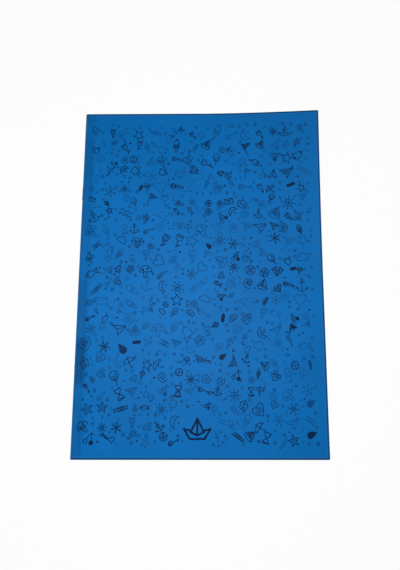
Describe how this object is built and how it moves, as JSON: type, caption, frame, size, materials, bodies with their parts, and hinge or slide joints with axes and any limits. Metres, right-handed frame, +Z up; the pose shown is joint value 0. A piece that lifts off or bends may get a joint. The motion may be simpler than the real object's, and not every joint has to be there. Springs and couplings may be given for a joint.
{
  "type": "notebook",
  "caption": "Closed A4 stapled exercise book: blue printed plastic cover folded round nested paper sheets, two wire staples, opens at its centre.",
  "frame": {"origin": "on the surface that the closed book lies on, under the middle of its bounding box", "axes": "+X from the spine to the fore edge, +Y from the tail to the head (the cover's top edge), +Z up through the closed book from its back cover"},
  "size_m": [0.2106, 0.297, 0.0105],
  "materials": {
    "cover_plastic": "satin",
    "paper": "matte",
    "staple_wire": "polished"
  },
  "bodies": {
    "back_cover": {"back_cover": "cover_plastic"},
    "spine": {"cover_spine": "cover_plastic", "sheet_01_fold": "paper", "sheet_02_fold": "paper", "sheet_03_fold": "paper", "sheet_04_fold": "paper", "sheet_05_fold": "paper", "sheet_06_fold": "paper", "sheet_07_fold": "paper", "sheet_08_fold": "paper", "sheet_09_fold": "paper", "sheet_10_fold": "paper", "sheet_11_fold": "paper", "sheet_12_fold": "paper", "staple_head": "staple_wire", "staple_tail": "staple_wire"},
    "sheet_01_front_leaf": {"sheet_01_front_leaf": "paper"},
    "sheet_02_front_leaf": {"sheet_02_front_leaf": "paper"},
    "sheet_03_front_leaf": {"sheet_03_front_leaf": "paper"},
    "sheet_04_front_leaf": {"sheet_04_front_leaf": "paper"},
    "sheet_05_front_leaf": {"sheet_05_front_leaf": "paper"},
    "sheet_06_front_leaf": {"sheet_06_front_leaf": "paper"},
    "sheet_07_front_leaf": {"sheet_07_front_leaf": "paper"},
    "sheet_08_front_leaf": {"sheet_08_front_leaf": "paper"},
    "sheet_09_front_leaf": {"sheet_09_front_leaf": "paper"},
    "sheet_10_front_leaf": {"sheet_10_front_leaf": "paper"},
    "sheet_11_front_leaf": {"sheet_11_front_leaf": "paper"},
    "sheet_12_front_leaf": {"sheet_12_front_leaf": "paper"},
    "sheet_12_back_leaf": {"sheet_12_back_leaf": "paper"},
    "sheet_11_back_leaf": {"sheet_11_back_leaf": "paper"},
    "sheet_10_back_leaf": {"sheet_10_back_leaf": "paper"},
    "sheet_09_back_leaf": {"sheet_09_back_leaf": "paper"},
    "sheet_08_back_leaf": {"sheet_08_back_leaf": "paper"},
    "sheet_07_back_leaf": {"sheet_07_back_leaf": "paper"},
    "sheet_06_back_leaf": {"sheet_06_back_leaf": "paper"},
    "sheet_05_back_leaf": {"sheet_05_back_leaf": "paper"},
    "sheet_04_back_leaf": {"sheet_04_back_leaf": "paper"},
    "sheet_03_back_leaf": {"sheet_03_back_leaf": "paper"},
    "sheet_02_back_leaf": {"sheet_02_back_leaf": "paper"},
    "sheet_01_back_leaf": {"sheet_01_back_leaf": "paper"},
    "front_cover": {"front_cover": "cover_plastic"}
  },
  "joints": [
    {"name": "sheet_01_front_leaf_hinge", "type": "hinge", "parent": "back_cover", "child": "sheet_01_front_leaf", "pos_m": [-0.10229, 0, 0.00243], "axis": [0, -1, 0], "range_deg": [0, 179]},
    {"name": "sheet_02_front_leaf_hinge", "type": "hinge", "parent": "back_cover", "child": "sheet_02_front_leaf", "pos_m": [-0.10229, 0, 0.00243], "axis": [0, -1, 0], "range_deg": [0, 179]},
    {"name": "sheet_03_front_leaf_hinge", "type": "hinge", "parent": "back_cover", "child": "sheet_03_front_leaf", "pos_m": [-0.10229, 0, 0.00243], "axis": [0, -1, 0], "range_deg": [0, 179]},
    {"name": "sheet_04_front_leaf_hinge", "type": "hinge", "parent": "back_cover", "child": "sheet_04_front_leaf", "pos_m": [-0.10229, 0, 0.00243], "axis": [0, -1, 0], "range_deg": [0, 179]},
    {"name": "sheet_05_front_leaf_hinge", "type": "hinge", "parent": "back_cover", "child": "sheet_05_front_leaf", "pos_m": [-0.10229, 0, 0.00243], "axis": [0, -1, 0], "range_deg": [0, 179]},
    {"name": "sheet_06_front_leaf_hinge", "type": "hinge", "parent": "back_cover", "child": "sheet_06_front_leaf", "pos_m": [-0.10229, 0, 0.00243], "axis": [0, -1, 0], "range_deg": [0, 179]},
    {"name": "sheet_07_front_leaf_hinge", "type": "hinge", "parent": "back_cover", "child": "sheet_07_front_leaf", "pos_m": [-0.10229, 0, 0.00243], "axis": [0, -1, 0], "range_deg": [0, 179]},
    {"name": "sheet_08_front_leaf_hinge", "type": "hinge", "parent": "back_cover", "child": "sheet_08_front_leaf", "pos_m": [-0.10229, 0, 0.00243], "axis": [0, -1, 0], "range_deg": [0, 179]},
    {"name": "sheet_09_front_leaf_hinge", "type": "hinge", "parent": "back_cover", "child": "sheet_09_front_leaf", "pos_m": [-0.10229, 0, 0.00243], "axis": [0, -1, 0], "range_deg": [0, 179]},
    {"name": "sheet_10_front_leaf_hinge", "type": "hinge", "parent": "back_cover", "child": "sheet_10_front_leaf", "pos_m": [-0.10229, 0, 0.00243], "axis": [0, -1, 0], "range_deg": [0, 179]},
    {"name": "sheet_11_front_leaf_hinge", "type": "hinge", "parent": "back_cover", "child": "sheet_11_front_leaf", "pos_m": [-0.10229, 0, 0.00243], "axis": [0, -1, 0], "range_deg": [0, 179]},
    {"name": "sheet_12_front_leaf_hinge", "type": "hinge", "parent": "back_cover", "child": "sheet_12_front_leaf", "pos_m": [-0.10229, 0, 0.00243], "axis": [0, -1, 0], "range_deg": [0, 179]},
    {"name": "sheet_12_back_leaf_hinge", "type": "hinge", "parent": "back_cover", "child": "sheet_12_back_leaf", "pos_m": [-0.10229, 0, 0.00243], "axis": [0, -1, 0], "range_deg": [0, 179]},
    {"name": "sheet_11_back_leaf_hinge", "type": "hinge", "parent": "back_cover", "child": "sheet_11_back_leaf", "pos_m": [-0.10229, 0, 0.00243], "axis": [0, -1, 0], "range_deg": [0, 179]},
    {"name": "sheet_10_back_leaf_hinge", "type": "hinge", "parent": "back_cover", "child": "sheet_10_back_leaf", "pos_m": [-0.10229, 0, 0.00243], "axis": [0, -1, 0], "range_deg": [0, 179]},
    {"name": "sheet_09_back_leaf_hinge", "type": "hinge", "parent": "back_cover", "child": "sheet_09_back_leaf", "pos_m": [-0.10229, 0, 0.00243], "axis": [0, -1, 0], "range_deg": [0, 179]},
    {"name": "sheet_08_back_leaf_hinge", "type": "hinge", "parent": "back_cover", "child": "sheet_08_back_leaf", "pos_m": [-0.10229, 0, 0.00243], "axis": [0, -1, 0], "range_deg": [0, 179]},
    {"name": "sheet_07_back_leaf_hinge", "type": "hinge", "parent": "back_cover", "child": "sheet_07_back_leaf", "pos_m": [-0.10229, 0, 0.00243], "axis": [0, -1, 0], "range_deg": [0, 179]},
    {"name": "sheet_06_back_leaf_hinge", "type": "hinge", "parent": "back_cover", "child": "sheet_06_back_leaf", "pos_m": [-0.10229, 0, 0.00243], "axis": [0, -1, 0], "range_deg": [0, 179]},
    {"name": "sheet_05_back_leaf_hinge", "type": "hinge", "parent": "back_cover", "child": "sheet_05_back_leaf", "pos_m": [-0.10229, 0, 0.00243], "axis": [0, -1, 0], "range_deg": [0, 179]},
    {"name": "sheet_04_back_leaf_hinge", "type": "hinge", "parent": "back_cover", "child": "sheet_04_back_leaf", "pos_m": [-0.10229, 0, 0.00243], "axis": [0, -1, 0], "range_deg": [0, 179]},
    {"name": "sheet_03_back_leaf_hinge", "type": "hinge", "parent": "back_cover", "child": "sheet_03_back_leaf", "pos_m": [-0.10229, 0, 0.00243], "axis": [0, -1, 0], "range_deg": [0, 179]},
    {"name": "sheet_02_back_leaf_hinge", "type": "hinge", "parent": "back_cover", "child": "sheet_02_back_leaf", "pos_m": [-0.10229, 0, 0.00243], "axis": [0, -1, 0], "range_deg": [0, 179]},
    {"name": "sheet_01_back_leaf_hinge", "type": "hinge", "parent": "back_cover", "child": "sheet_01_back_leaf", "pos_m": [-0.10229, 0, 0.00243], "axis": [0, -1, 0], "range_deg": [0, 179]},
    {"name": "spine_turn", "type": "hinge", "parent": "back_cover", "child": "spine", "pos_m": [-0.10229, 0, 0.00243], "axis": [0, -1, 0], "range_deg": [0, 90], "deforming": ["cover_spine", "sheet_01_fold", "sheet_02_fold", "sheet_03_fold", "sheet_04_fold", "sheet_05_fold", "sheet_06_fold", "sheet_07_fold", "sheet_08_fold", "sheet_09_fold", "sheet_10_fold", "sheet_11_fold", "sheet_12_fold"]},
    {"name": "front_cover_hinge", "type": "hinge", "parent": "sheet_01_front_leaf", "child": "front_cover", "pos_m": [-0.10229, 0, 0.00501], "axis": [0, -1, 0], "range_deg": [0, 179]}
  ],
  "couplings": [
    {"joint": "sheet_02_front_leaf_hinge", "follows": "sheet_01_front_leaf_hinge", "ratio": 0.998},
    {"joint": "sheet_03_front_leaf_hinge", "follows": "sheet_01_front_leaf_hinge", "ratio": 0.996},
    {"joint": "sheet_04_front_leaf_hinge", "follows": "sheet_01_front_leaf_hinge", "ratio": 0.994},
    {"joint": "sheet_05_front_leaf_hinge", "follows": "sheet_01_front_leaf_hinge", "ratio": 0.992},
    {"joint": "sheet_06_front_leaf_hinge", "follows": "sheet_01_front_leaf_hinge", "ratio": 0.99},
    {"joint": "sheet_07_front_leaf_hinge", "follows": "sheet_01_front_leaf_hinge", "ratio": 0.988},
    {"joint": "sheet_08_front_leaf_hinge", "follows": "sheet_01_front_leaf_hinge", "ratio": 0.986},
    {"joint": "sheet_09_front_leaf_hinge", "follows": "sheet_01_front_leaf_hinge", "ratio": 0.984},
    {"joint": "sheet_10_front_leaf_hinge", "follows": "sheet_01_front_leaf_hinge", "ratio": 0.982},
    {"joint": "sheet_11_front_leaf_hinge", "follows": "sheet_01_front_leaf_hinge", "ratio": 0.98},
    {"joint": "sheet_12_front_leaf_hinge", "follows": "sheet_01_front_leaf_hinge", "ratio": 0.978},
    {"joint": "sheet_12_back_leaf_hinge", "follows": "sheet_01_front_leaf_hinge", "ratio": 0.024},
    {"joint": "sheet_11_back_leaf_hinge", "follows": "sheet_01_front_leaf_hinge", "ratio": 0.022},
    {"joint": "sheet_10_back_leaf_hinge", "follows": "sheet_01_front_leaf_hinge", "ratio": 0.02},
    {"joint": "sheet_09_back_leaf_hinge", "follows": "sheet_01_front_leaf_hinge", "ratio": 0.018},
    {"joint": "sheet_08_back_leaf_hinge", "follows": "sheet_01_front_leaf_hinge", "ratio": 0.016},
    {"joint": "sheet_07_back_leaf_hinge", "follows": "sheet_01_front_leaf_hinge", "ratio": 0.014},
    {"joint": "sheet_06_back_leaf_hinge", "follows": "sheet_01_front_leaf_hinge", "ratio": 0.012},
    {"joint": "sheet_05_back_leaf_hinge", "follows": "sheet_01_front_leaf_hinge", "ratio": 0.01},
    {"joint": "sheet_04_back_leaf_hinge", "follows": "sheet_01_front_leaf_hinge", "ratio": 0.008},
    {"joint": "sheet_03_back_leaf_hinge", "follows": "sheet_01_front_leaf_hinge", "ratio": 0.006},
    {"joint": "sheet_02_back_leaf_hinge", "follows": "sheet_01_front_leaf_hinge", "ratio": 0.004},
    {"joint": "sheet_01_back_leaf_hinge", "follows": "sheet_01_front_leaf_hinge", "ratio": 0.002},
    {"joint": "spine_turn", "follows": "sheet_01_front_leaf_hinge", "ratio": 0.5}
  ]
}
